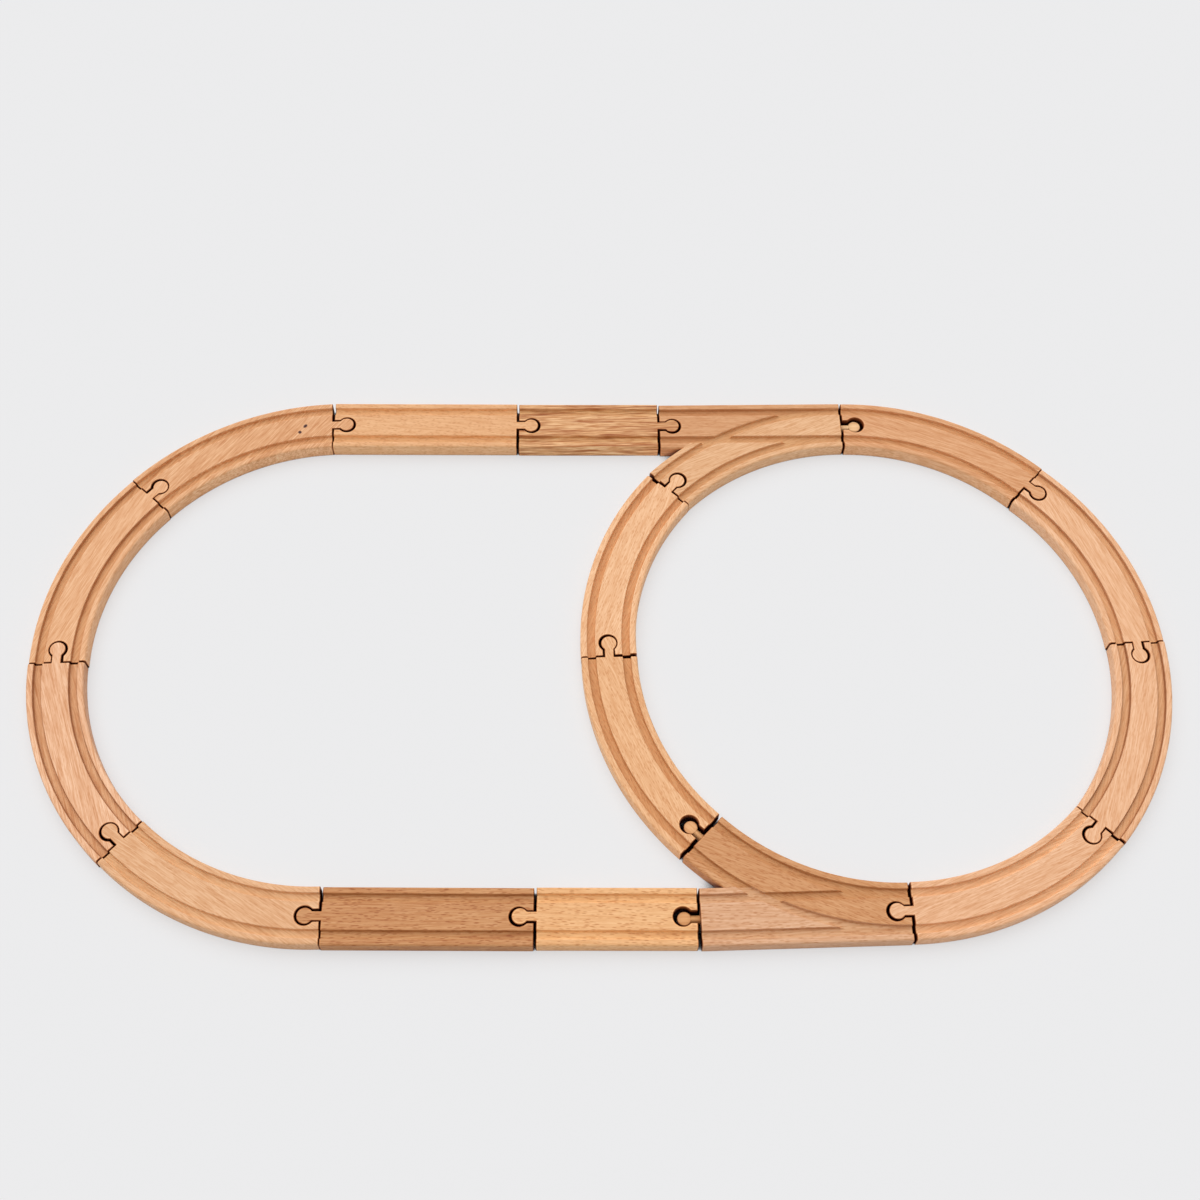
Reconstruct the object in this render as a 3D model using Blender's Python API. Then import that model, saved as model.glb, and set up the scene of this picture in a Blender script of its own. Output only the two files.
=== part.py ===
"""Wooden toy railway: sixteen grooved beech track pieces laid as an oval with an inner loop.

Straights, curves and two switches hook together with round pegs in keyhole sockets.
The pegs are cut from the same wood as their piece, except three separate ones on the
switches, which are a disc on a dowel. Units are metres, +Z is up and the track lies on Z = 0.
"""

import math

import bmesh
import bpy
import numpy as np
from mathutils import Matrix, Vector

MM = 0.001

# Section of the track, the same on every piece
TRACK_WIDTH = 41 * MM
TRACK_THICKNESS = 12 * MM
EDGE_ROUND = 1.8 * MM
EDGE_STEPS = 3
GROOVE_SPACING = 26 * MM
GROOVE_WIDTH = 6 * MM
GROOVE_DEPTH = 3 * MM
GROOVE_FILLET = 0.8 * MM
GROOVE_STEPS = 2

# Plan of the pieces
LONG_LENGTH = 143 * MM
SHORT_LENGTH = 109 * MM
SWITCH_LENGTH = 143 * MM
CURVE_RADIUS = 195 * MM
CURVE_ANGLE = math.radians(45)
CURVE_STEPS = 12

# Peg cut from the wood of its piece, and the keyhole socket it drops into
PEG_HEAD = 11.4 * MM
PEG_NECK = 6.6 * MM
PEG_REACH = 11 * MM
PEG_RELIEF = 0.25 * MM
PEG_ROOT = 4 * MM
SHOULDER_TURN = math.radians(9)
HEAD_PLAY = 1.1 * MM
NECK_PLAY = 1.0 * MM
SEAT_GAP = 1.0 * MM
HEAD_STEPS = 20

# Separate peg on a switch: a disc on a dowel that sits in a bore in the end of the switch
DISC_HEAD = 9.8 * MM
DISC_THICKNESS = 6 * MM
DISC_CHAMFER = 0.8 * MM
DOWEL = 5.6 * MM
DOWEL_DEPTH = 14 * MM
DOWEL_STEPS = 16

# Air kept between pieces that touch in use, and how far a cutter runs past what it cuts
TOUCH = 0.3 * MM
OVERCUT = 4 * MM

# How each joint was laid by hand: the piece with the peg and its end, the piece with the socket
# and its end, how far the peg is pulled towards the mouth, how far it lies to the left as seen
# from inside the socket, and how far the joint is turned to the left. All three are shares of
# the play that the joint has.
LAID_JOINTS = (
    ("switch_upper", "common", "curve_right_1", "tail", 0.20, -0.10, 0.10),
    ("curve_right_1", "tip", "curve_right_2", "tail", 0.00, -0.35, 0.95),
    ("curve_right_2", "tip", "curve_right_3", "tail", -0.20, 0.80, 0.70),
    ("curve_right_3", "tip", "curve_right_4", "tail", 0.10, -0.80, -0.95),
    ("curve_right_4", "tip", "switch_lower", "common", 0.75, 0.35, 0.00),
    ("switch_lower", "through", "straight_lower_short", "tail", 0.40, -0.40, -0.40),
    ("straight_lower_short", "tip", "straight_lower_long", "tail", 0.60, 0.45, -0.05),
    ("straight_lower_long", "tip", "curve_left_4", "tail", 0.25, -0.15, 0.85),
    ("curve_left_4", "tip", "curve_left_3", "tail", -0.15, 0.75, 0.10),
    ("curve_left_3", "tip", "curve_left_2", "tail", -0.20, -0.60, 0.50),
    ("curve_left_2", "tip", "curve_left_1", "tail", -0.20, 0.75, 0.30),
    ("curve_left_1", "tip", "straight_upper_long", "tail", 0.40, -0.50, -0.95),
    ("straight_upper_long", "tip", "straight_upper_short", "tail", 0.55, -0.35, 0.05),
    ("switch_lower", "branch", "curve_inner_lower", "tail", 0.65, -0.05, 0.05),
    ("curve_inner_lower", "tip", "curve_inner_upper", "tail", 0.30, 0.75, 0.85),
    ("straight_upper_short", "tip", "switch_upper", "through", 0.40, -0.60, 0.20),
    ("curve_inner_upper", "tip", "switch_upper", "branch", 0.45, -0.25, -0.95),
)
SETTLE_ROUNDS = 8
JOINT_STIFFNESS = 100 / MM
TURN_STIFFNESS = 100.0

# Wood colours as linear RGB, one for each piece
PALE_BEECH = (0.66, 0.43, 0.25)
PINK_BEECH = (0.60, 0.36, 0.21)
WARM_BEECH = (0.58, 0.33, 0.16)
BROWN_BEECH = (0.50, 0.28, 0.14)
PEG_BEECH = (0.62, 0.32, 0.13)
WOOD_ROUGHNESS = 0.55

# The pieces: their kind, the side a switch branches to (+1 left) and their wood
PIECES = {
    "switch_upper": ("switch", 1, WARM_BEECH),
    "curve_right_1": ("curve", 0, PINK_BEECH),
    "curve_right_2": ("curve", 0, PINK_BEECH),
    "curve_right_3": ("curve", 0, PINK_BEECH),
    "curve_right_4": ("curve", 0, PINK_BEECH),
    "switch_lower": ("switch", -1, PINK_BEECH),
    "straight_lower_short": ("short", 0, PALE_BEECH),
    "straight_lower_long": ("long", 0, BROWN_BEECH),
    "curve_left_4": ("curve", 0, PINK_BEECH),
    "curve_left_3": ("curve", 0, PINK_BEECH),
    "curve_left_2": ("curve", 0, PINK_BEECH),
    "curve_left_1": ("curve", 0, PINK_BEECH),
    "straight_upper_long": ("long", 0, PALE_BEECH),
    "straight_upper_short": ("short", 0, WARM_BEECH),
    "curve_inner_lower": ("curve", 0, PALE_BEECH),
    "curve_inner_upper": ("curve", 0, PALE_BEECH),
}
SEPARATE_PEGS = {
    "switch_upper_peg": ("switch_upper", "common"),
    "switch_lower_peg_main": ("switch_lower", "through"),
    "switch_lower_peg_branch": ("switch_lower", "branch"),
}
LENGTHS = {"long": LONG_LENGTH, "short": SHORT_LENGTH, "switch": SWITCH_LENGTH}

# Sizes that follow from the ones above
HALF_WIDTH = TRACK_WIDTH / 2
HEAD_RADIUS = PEG_HEAD / 2
HOLE_RADIUS = HEAD_RADIUS + HEAD_PLAY
NECK_HALF = PEG_NECK / 2
SLOT_HALF = NECK_HALF + NECK_PLAY
HOLE_INSET = PEG_REACH - SEAT_GAP
BORE_RADIUS = DOWEL / 2 + TOUCH


def arc_points(centre, radius, start, end, steps):
    """Return points on an arc about centre, from the start angle to the end angle."""
    angles = [start + (end - start) * i / steps for i in range(steps + 1)]
    return [(centre[0] + radius * math.cos(a), centre[1] + radius * math.sin(a)) for a in angles]


# Outlines

def groove_outline(centre, top):
    """Return one groove's section, left to right: a wall, a filleted floor and a wall."""
    floor = TRACK_THICKNESS - GROOVE_DEPTH
    left = centre - GROOVE_WIDTH / 2
    right = centre + GROOVE_WIDTH / 2
    fillet = GROOVE_FILLET
    points = [(left, top)]
    points += arc_points((left + fillet, floor + fillet), fillet, math.pi, 1.5 * math.pi, GROOVE_STEPS)
    points += arc_points((right - fillet, floor + fillet), fillet, -0.5 * math.pi, 0, GROOVE_STEPS)
    points += [(right, top)]
    return points


def track_outline(grooved):
    """Return the track's section, seen along the track, with or without its two grooves."""
    side = HALF_WIDTH - EDGE_ROUND
    top = TRACK_THICKNESS - EDGE_ROUND
    quarter = math.pi / 2
    points = arc_points((-side, EDGE_ROUND), EDGE_ROUND, 3 * quarter, 2 * quarter, EDGE_STEPS)
    points += arc_points((-side, top), EDGE_ROUND, 2 * quarter, quarter, EDGE_STEPS)
    if grooved:
        points += groove_outline(-GROOVE_SPACING / 2, TRACK_THICKNESS)
        points += groove_outline(GROOVE_SPACING / 2, TRACK_THICKNESS)
    points += arc_points((side, top), EDGE_ROUND, quarter, 0, EDGE_STEPS)
    points += arc_points((side, EDGE_ROUND), EDGE_ROUND, 0, -quarter, EDGE_STEPS)
    return points


def shoulder_of(half, radius):
    """Return the angle at which a slanted shoulder leaves the circle, and where it meets the neck."""
    angle = math.asin(half / radius) + SHOULDER_TURN
    run = (radius * math.sin(angle) - half) / math.cos(angle)
    return angle, radius * math.cos(angle) + run * math.sin(angle)


def keyhole_outline(half, radius, reach, root):
    """Return a peg or socket in plan: a neck from -root, slanted shoulders and a round head at reach."""
    angle, meet = shoulder_of(half, radius)
    points = [(-root, -half), (reach - meet, -half)]
    points += arc_points((reach, 0), radius, angle - math.pi, math.pi - angle, HEAD_STEPS)
    points += [(reach - meet, half), (-root, half)]
    return points


# Solids

def mesh_from(name, bm):
    """Turn a bmesh into a mesh with outward faces, smooth except at its sharp edges."""
    bmesh.ops.remove_doubles(bm, verts=bm.verts, dist=0.00001)
    bmesh.ops.recalc_face_normals(bm, faces=bm.faces)
    mesh = bpy.data.meshes.new(name)
    bm.to_mesh(mesh)
    bm.free()
    mesh.shade_smooth()
    mesh.set_sharp_from_angle(angle=math.radians(35))
    return mesh


def section_face(outline, start):
    """Return a bmesh holding a section as one face that stands across the track at x = start."""
    bm = bmesh.new()
    bm.faces.new([bm.verts.new((start, y, z)) for y, z in outline])
    return bm


def straight_mesh(name, outline, length, overcut=0.0):
    """Push a section along +X for a length, past both ends by the overcut."""
    bm = section_face(outline, -overcut)
    pushed = bmesh.ops.extrude_face_region(bm, geom=list(bm.faces))["geom"]
    moved = [item for item in pushed if isinstance(item, bmesh.types.BMVert)]
    bmesh.ops.translate(bm, verts=moved, vec=(length + 2 * overcut, 0, 0))
    return mesh_from(name, bm)


def curved_mesh(name, outline, side, overcut=0.0):
    """Spin a section about the centre of the curve, to the left (+1) or right (-1)."""
    bm = section_face(outline, 0.0)
    centre = Vector((0, side * CURVE_RADIUS, 0))
    extra = overcut / CURVE_RADIUS
    turn = Matrix.Rotation(-side * extra, 3, "Z")
    bmesh.ops.rotate(bm, verts=bm.verts, cent=centre, matrix=turn)
    bmesh.ops.spin(
        bm, geom=bm.verts[:] + bm.edges[:] + bm.faces[:], cent=centre, axis=(0, 0, 1),
        angle=side * (CURVE_ANGLE + 2 * extra), steps=CURVE_STEPS, use_duplicate=False)
    return mesh_from(name, bm)


def plate_mesh(name, outline, low, high):
    """Fill a plan outline as a 2D curve and extrude it between two heights."""
    curve = bpy.data.curves.new(name, "CURVE")
    curve.dimensions = "2D"
    curve.fill_mode = "BOTH"
    curve.extrude = (high - low) / 2
    spline = curve.splines.new("POLY")
    spline.points.add(len(outline) - 1)
    for point, (x, y) in zip(spline.points, outline):
        point.co = (x, y, 0, 1)
    spline.use_cyclic_u = True
    holder = bpy.data.objects.new(name, curve)
    bpy.context.scene.collection.objects.link(holder)
    evaluated = holder.evaluated_get(bpy.context.evaluated_depsgraph_get())
    flat = bpy.data.meshes.new_from_object(evaluated)
    bm = bmesh.new()
    bm.from_mesh(flat)
    bmesh.ops.translate(bm, verts=bm.verts, vec=(0, 0, (low + high) / 2))
    bpy.data.objects.remove(holder)
    bpy.data.meshes.remove(flat)
    bpy.data.curves.remove(curve)
    return mesh_from(name, bm)


def round_mesh(name, radius, length, steps, place, chamfer=0.0):
    """Return a cylinder of a length along its own Z, chamfered at both rims, then put in place."""
    bm = bmesh.new()
    bmesh.ops.create_cone(
        bm, cap_ends=True, segments=steps, radius1=radius, radius2=radius, depth=length)
    if chamfer:
        rims = [edge for edge in bm.edges if abs(edge.verts[0].co.z - edge.verts[1].co.z) < TOUCH]
        bmesh.ops.bevel(bm, geom=rims, offset=chamfer, segments=1, affect="EDGES", profile=0.5)
    bmesh.ops.transform(bm, matrix=place, verts=bm.verts)
    return mesh_from(name, bm)


def lying(x):
    """Return the place of a cylinder that lies along X at half height, centred on x."""
    middle = Matrix.Translation((x, 0, TRACK_THICKNESS / 2))
    return middle @ Matrix.Rotation(math.pi / 2, 4, "Y")


# Ends and joints

def ends_of(kind, side):
    """Return each end of a kind of piece: its x, y and the angle that it faces outwards."""
    if kind == "switch":
        bend = side * CURVE_ANGLE
    else:
        bend = -CURVE_ANGLE
    turned = (CURVE_RADIUS * math.sin(CURVE_ANGLE),
              math.copysign(CURVE_RADIUS * (1 - math.cos(CURVE_ANGLE)), bend), bend)
    if kind == "curve":
        return {"tail": (0.0, 0.0, math.pi), "tip": turned}
    if kind == "switch":
        return {"common": (0.0, 0.0, math.pi), "through": (SWITCH_LENGTH, 0.0, 0.0), "branch": turned}
    return {"tail": (0.0, 0.0, math.pi), "tip": (LENGTHS[kind], 0.0, 0.0)}


def on_piece(pose, end):
    """Return a piece's end in the plan of the layout, from the piece's pose."""
    cos, sin = math.cos(pose[2]), math.sin(pose[2])
    return (pose[0] + cos * end[0] - sin * end[1], pose[1] + sin * end[0] + cos * end[1],
            pose[2] + end[2])


def wrapped(angle):
    """Return an angle between minus pi and pi."""
    return (angle + math.pi) % (2 * math.pi) - math.pi


def joint_play(head_radius):
    """Return how far a head can move from the middle of its hole to the shoulders at the mouth."""
    angle, meet = shoulder_of(SLOT_HALF, HOLE_RADIUS)
    at_corner = meet - math.sqrt(max((head_radius + TOUCH) ** 2 - SLOT_HALF ** 2, 0.0))
    at_slant = (HOLE_RADIUS - head_radius - TOUCH) / math.cos(angle)
    return min(at_corner, at_slant)


def laid_joint(joint):
    """Return how a joint was laid: the head's inset and its place aside in the socket, and the turn."""
    male, male_end, female, female_end, pull, side, turn = joint
    separate = (male, male_end) in SEPARATE_PEGS.values()
    head_radius = DISC_HEAD / 2 if separate else HEAD_RADIUS
    drawn = pull * joint_play(head_radius)
    aside = side * (HOLE_RADIUS - head_radius - TOUCH)
    most_turn = (SEAT_GAP + drawn - TOUCH) / HALF_WIDTH
    return HOLE_INSET - drawn, aside, turn * most_turn


def head_place(pose, end):
    """Return where a peg's head lies in plan, and the way that the peg points."""
    x, y, angle = on_piece(pose, end)
    return x + PEG_REACH * math.cos(angle), y + PEG_REACH * math.sin(angle), angle


def joint_misfit(poses, joint):
    """Return how far a joint is from the way it was laid: along, across and turned."""
    male, male_end, female, female_end = joint[:4]
    inset, aside, turn = laid_joint(joint)
    head_x, head_y, points = head_place(poses[male], ends_of(*PIECES[male][:2])[male_end])
    x, y, faces = on_piece(poses[female], ends_of(*PIECES[female][:2])[female_end])
    cos, sin = math.cos(faces), math.sin(faces)
    along = cos * (head_x - x) + sin * (head_y - y) + inset
    across = cos * (head_y - y) - sin * (head_x - x) - aside
    return along, across, wrapped(faces + math.pi - points - turn)


def first_poses():
    """Walk round the joints from the upper switch and put each new piece on the last."""
    poses = {"switch_upper": np.array((0.0, 0.0, math.pi))}
    for joint in LAID_JOINTS:
        male, male_end, female, female_end = joint[:4]
        if female in poses:
            continue
        inset, aside, turn = laid_joint(joint)
        head_x, head_y, points = head_place(poses[male], ends_of(*PIECES[male][:2])[male_end])
        end_x, end_y, end_angle = ends_of(*PIECES[female][:2])[female_end]
        heading = points + turn + math.pi - end_angle
        faces = heading + end_angle
        x = head_x + inset * math.cos(faces) + aside * math.sin(faces)
        y = head_y + inset * math.sin(faces) - aside * math.cos(faces)
        cos, sin = math.cos(heading), math.sin(heading)
        poses[female] = np.array((x - cos * end_x + sin * end_y, y - sin * end_x - cos * end_y, heading))
    return poses


def settled_poses():
    """Ease all pieces but the first until both loops close, and share what is left as small turns."""
    poses = first_poses()
    free = [name for name in PIECES if name != "switch_upper"]
    weights = np.array((JOINT_STIFFNESS, JOINT_STIFFNESS, TURN_STIFFNESS))

    def misfits(values):
        moved = dict(poses)
        moved.update(zip(free, values.reshape(-1, 3)))
        return np.concatenate([weights * joint_misfit(moved, joint) for joint in LAID_JOINTS])

    values = np.concatenate([poses[name] for name in free])
    step = 0.01 * MM
    for _ in range(SETTLE_ROUNDS):
        base = misfits(values)
        slopes = np.array([(misfits(values + step * unit) - base) / step for unit in np.eye(len(values))])
        values = values - np.linalg.lstsq(slopes.T, base, rcond=None)[0]
    poses.update(zip(free, values.reshape(-1, 3)))
    return poses


# Pieces as objects

def wood(name, colour):
    """Return a plain wood material for one piece."""
    material = bpy.data.materials.new(name)
    material.use_nodes = True
    shader = material.node_tree.nodes["Principled BSDF"]
    shader.inputs["Base Color"].default_value = (*colour, 1)
    shader.inputs["Roughness"].default_value = WOOD_ROUGHNESS
    shader.inputs["Metallic"].default_value = 0
    material.diffuse_color = (*colour, 1)
    return material


def add_tool(piece, tools, label, mesh, place, operation):
    """Cut or join a mesh into a piece with a Boolean, placed in the piece's own frame."""
    tool = bpy.data.objects.new(f"{piece.name}_{label}", mesh)
    tool.parent = piece
    tool.matrix_local = place
    tool.hide_render = True
    tool.display_type = "WIRE"
    tools.objects.link(tool)
    cut = piece.modifiers.new(label, "BOOLEAN")
    cut.operation = operation
    cut.object = tool
    cut.solver = "EXACT"


def end_matrix(end, inward):
    """Return the frame of an end, with X pointing out of the piece or into it."""
    angle = end[2] + (math.pi if inward else 0)
    return Matrix.Translation((end[0], end[1], 0)) @ Matrix.Rotation(angle, 4, "Z")


def add_grooves(piece, tools, side):
    """Cut the through grooves and the branch grooves of a switch, so that they cross."""
    here = Matrix.Identity(4)
    for label, centre in (("left", GROOVE_SPACING / 2), ("right", -GROOVE_SPACING / 2)):
        outline = groove_outline(centre, TRACK_THICKNESS + OVERCUT)
        through = straight_mesh(f"through_groove_{label}", outline, SWITCH_LENGTH, OVERCUT)
        branch = curved_mesh(f"branch_groove_{label}", outline, side, OVERCUT)
        add_tool(piece, tools, f"through_groove_{label}", through, here, "DIFFERENCE")
        add_tool(piece, tools, f"branch_groove_{label}", branch, here, "DIFFERENCE")


def add_piece(name, pose, layout, parts, tools, shared):
    """Add one track piece: its body, its sockets and the pegs cut from its own wood."""
    kind, side, colour = PIECES[name]
    if kind == "curve":
        mesh = curved_mesh(name, track_outline(True), -1)
    else:
        mesh = straight_mesh(name, track_outline(kind != "switch"), LENGTHS[kind])
    piece = bpy.data.objects.new(name, mesh)
    mesh.materials.append(wood(name, colour))
    piece.parent = layout
    piece.location = (pose[0], pose[1], 0)
    piece.rotation_euler = (0, 0, pose[2])
    parts.objects.link(piece)
    if kind == "switch":
        branch = curved_mesh(f"{name}_branch", track_outline(False), side)
        add_tool(piece, tools, "branch", branch, Matrix.Identity(4), "UNION")
        add_grooves(piece, tools, side)
    ends = ends_of(kind, side)
    for male, male_end, female, female_end, *_ in LAID_JOINTS:
        if female == name:
            place = end_matrix(ends[female_end], True)
            add_tool(piece, tools, f"socket_{female_end}", shared["socket"], place, "DIFFERENCE")
        if male != name:
            continue
        place = end_matrix(ends[male_end], False)
        if (male, male_end) in SEPARATE_PEGS.values():
            add_tool(piece, tools, f"bore_{male_end}", shared["bore"], place, "DIFFERENCE")
        else:
            add_tool(piece, tools, f"peg_{male_end}", shared["peg"], place, "UNION")
    return piece


def add_separate_peg(name, switch, end, parts, tools, shared):
    """Add one disc peg on its dowel, seated in the bore of its switch."""
    peg = bpy.data.objects.new(name, shared["dowel"].copy())
    peg.data.materials.append(wood(name, PEG_BEECH))
    peg.parent = switch
    kind, side, _ = PIECES[switch.name]
    peg.matrix_local = end_matrix(ends_of(kind, side)[end], False)
    parts.objects.link(peg)
    add_tool(peg, tools, "disc", shared["disc"], Matrix.Identity(4), "UNION")
    return peg


def joint_meshes():
    """Return the meshes that the joints share: peg, socket, dowel, bore and disc."""
    low, high = PEG_RELIEF, TRACK_THICKNESS - PEG_RELIEF
    peg = keyhole_outline(NECK_HALF, HEAD_RADIUS, PEG_REACH, PEG_ROOT)
    socket = keyhole_outline(SLOT_HALF, HOLE_RADIUS, HOLE_INSET, OVERCUT)
    dowel_length = DOWEL_DEPTH + PEG_REACH
    bore_length = DOWEL_DEPTH + TOUCH + OVERCUT
    upright = Matrix.Translation((PEG_REACH, 0, TRACK_THICKNESS / 2))
    return {
        "peg": plate_mesh("peg", peg, low, high),
        "socket": plate_mesh("socket", socket, -OVERCUT, TRACK_THICKNESS + OVERCUT),
        "dowel": round_mesh(
            "dowel", DOWEL / 2, dowel_length, DOWEL_STEPS, lying(PEG_REACH - dowel_length / 2)),
        "bore": round_mesh(
            "bore", BORE_RADIUS, bore_length, DOWEL_STEPS, lying(OVERCUT - bore_length / 2)),
        "disc": round_mesh(
            "disc", DISC_HEAD / 2, DISC_THICKNESS, HEAD_STEPS, upright, DISC_CHAMFER),
    }


def centre_layout(layout, pieces):
    """Move the layout so that the middle of its box stands over the origin."""
    bpy.context.view_layer.update()
    graph = bpy.context.evaluated_depsgraph_get()
    corners = []
    for piece in pieces:
        mesh = piece.evaluated_get(graph).to_mesh()
        corners += [piece.matrix_world @ vertex.co for vertex in mesh.vertices]
    for axis in (0, 1):
        values = [corner[axis] for corner in corners]
        layout.location[axis] = -(min(values) + max(values)) / 2


def main():
    """Clear the scene and lay the whole track."""
    for item in list(bpy.data.objects):
        bpy.data.objects.remove(item)
    parts = bpy.data.collections.new("wooden_train_track")
    tools = bpy.data.collections.new("cutters")
    for collection in (parts, tools):
        bpy.context.scene.collection.children.link(collection)
    layout = bpy.data.objects.new("track_layout", None)
    parts.objects.link(layout)
    shared = joint_meshes()
    poses = settled_poses()
    pieces = {name: add_piece(name, poses[name], layout, parts, tools, shared) for name in PIECES}
    for name, (switch, end) in SEPARATE_PEGS.items():
        pieces[name] = add_separate_peg(name, pieces[switch], end, parts, tools, shared)
    centre_layout(layout, pieces.values())
    bpy.context.view_layer.update()


main()
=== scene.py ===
"""Wooden toy railway, finished: beech straights, curves and switches with their loose pegs.

Every piece is built again on the place of its CAD solid as one fine closed surface, with worked grooves,
rounded rails, softened ends and its own cut of beech. All lengths are metres.
"""

import math
from collections import namedtuple

import bpy
import numpy as np
from mathutils import Matrix, Vector
from mathutils.geometry import delaunay_2d_cdt


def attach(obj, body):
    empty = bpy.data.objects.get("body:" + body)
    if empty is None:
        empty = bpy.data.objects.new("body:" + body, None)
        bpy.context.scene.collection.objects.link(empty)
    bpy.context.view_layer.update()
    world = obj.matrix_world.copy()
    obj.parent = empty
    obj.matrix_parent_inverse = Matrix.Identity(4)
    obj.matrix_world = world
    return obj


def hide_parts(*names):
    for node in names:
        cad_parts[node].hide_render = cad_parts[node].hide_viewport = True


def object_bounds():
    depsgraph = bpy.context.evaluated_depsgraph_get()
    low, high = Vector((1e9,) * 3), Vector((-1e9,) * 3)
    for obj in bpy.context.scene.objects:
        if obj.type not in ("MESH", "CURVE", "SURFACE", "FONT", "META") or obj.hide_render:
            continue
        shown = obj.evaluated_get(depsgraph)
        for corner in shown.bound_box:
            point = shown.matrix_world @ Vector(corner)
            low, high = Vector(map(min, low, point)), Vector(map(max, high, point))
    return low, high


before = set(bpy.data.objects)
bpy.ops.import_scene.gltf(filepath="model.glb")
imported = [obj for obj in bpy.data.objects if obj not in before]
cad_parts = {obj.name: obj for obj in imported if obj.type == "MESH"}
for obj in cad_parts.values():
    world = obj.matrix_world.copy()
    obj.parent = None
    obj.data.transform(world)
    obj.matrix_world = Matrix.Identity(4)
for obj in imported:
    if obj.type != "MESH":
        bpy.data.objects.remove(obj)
cad_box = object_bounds()

bl_info = {
    "name": "Wooden train track",
    "version": (1, 0, 0),
    "blender": (4, 2, 0),
    "location": "View3D > Sidebar > Track",
    "description": "Grooved beech track pieces on the places of their CAD solids",
    "category": "Object",
}

MM = 0.001

# Length of a step along a path, and numbers of steps round the curved forms
PATH_STEP = 3 * MM
HEAD_STEPS = 45
GROOVE_ROUND_STEPS = 6
DISC_ROUND_STEPS = 7
DISC_STEPS = 96
DOWEL_STEPS = 48
# Steps of a switch's outline: back to the crotch, and along the outer and inner side of the branch
BACK_STEPS = 8
OUTER_STEPS = 12
INNER_STEPS = 60
# Steps along the creases of a switch's grooves, of its crotch and along its glue seams
CREASE_STEPS = 40
CROTCH_STEPS = 12
SEAM_STEPS = 60
AHEAD_STEPS = 20

# How far a line in plan runs past the wood, how close it must lie to the surface to count, how far past a
# rounding the next line follows, and half the space of a pair of lines that keeps a change sharp
SPARE = 0.5 * MM
ON_SURFACE = 0.02 * MM
FOLLOW = 0.35 * MM
PAIR_HALF = 0.06 * MM
# Where the shade of a groove's corner begins on its floor
CORNER_REACH = 1.1 * MM
# Lines along the rim of an end, as shares of its rounding
RIM_LINES = (0.134, 0.5, 1.0, 1.4, 2.2)
# From the middle of a switch's groove to the glue seam of its two woods
SEAM_OFFSET = 3.2 * MM
# Rounding of a dowel's end, and how far the cutter of its bore runs out of the wood
DOWEL_EDGE = 0.3 * MM
BORE_OVERRUN = 4 * MM
# Edges that turn more than this stay sharp
SHARP_ANGLE = math.radians(50)
# Height and reach of the upright walls of a CAD solid, and the most that a piece may lie off it
UPRIGHT_MIDDLE = 6 * MM
UPRIGHT_REACH = 4.3 * MM
MISFIT_LIMIT = 0.1 * MM

# Look of one piece's grain: strength of broad bands, narrow stripes, fine fibres and ray flecks, length of
# a fleck in millimetres, how much browner the grooves are, from their own wood and painted shade, how much
# painted shade falls on the grooves' walls and corners and on the side walls, where less than zero is
# painted light, and the turn of the grain off the piece's own line in degrees
Figure = namedtuple("Figure", "bands stripes fibres flecks fleck_length groove steep wall turn")

STRAIGHTS = {
    "straight_upper_long": "long_length",
    "straight_upper_short": "short_length",
    "straight_lower_short": "short_length",
    "straight_lower_long": "long_length",
}
CURVES = (
    "curve_right_1",
    "curve_right_2",
    "curve_right_3",
    "curve_right_4",
    "curve_left_4",
    "curve_left_3",
    "curve_left_2",
    "curve_left_1",
    "curve_inner_lower",
    "curve_inner_upper",
)
# The side that each switch branches to, and what its common, through and branch ends have
SWITCHES = {
    "switch_upper": (1, ("bore", "socket", "socket")),
    "switch_lower": (-1, ("socket", "bore", "bore")),
}
# The switch that each loose peg sits in, and the end of it
PEGS = {
    "switch_upper_peg": ("switch_upper", 0),
    "switch_lower_peg_main": ("switch_lower", 1),
    "switch_lower_peg_branch": ("switch_lower", 2),
}

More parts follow.
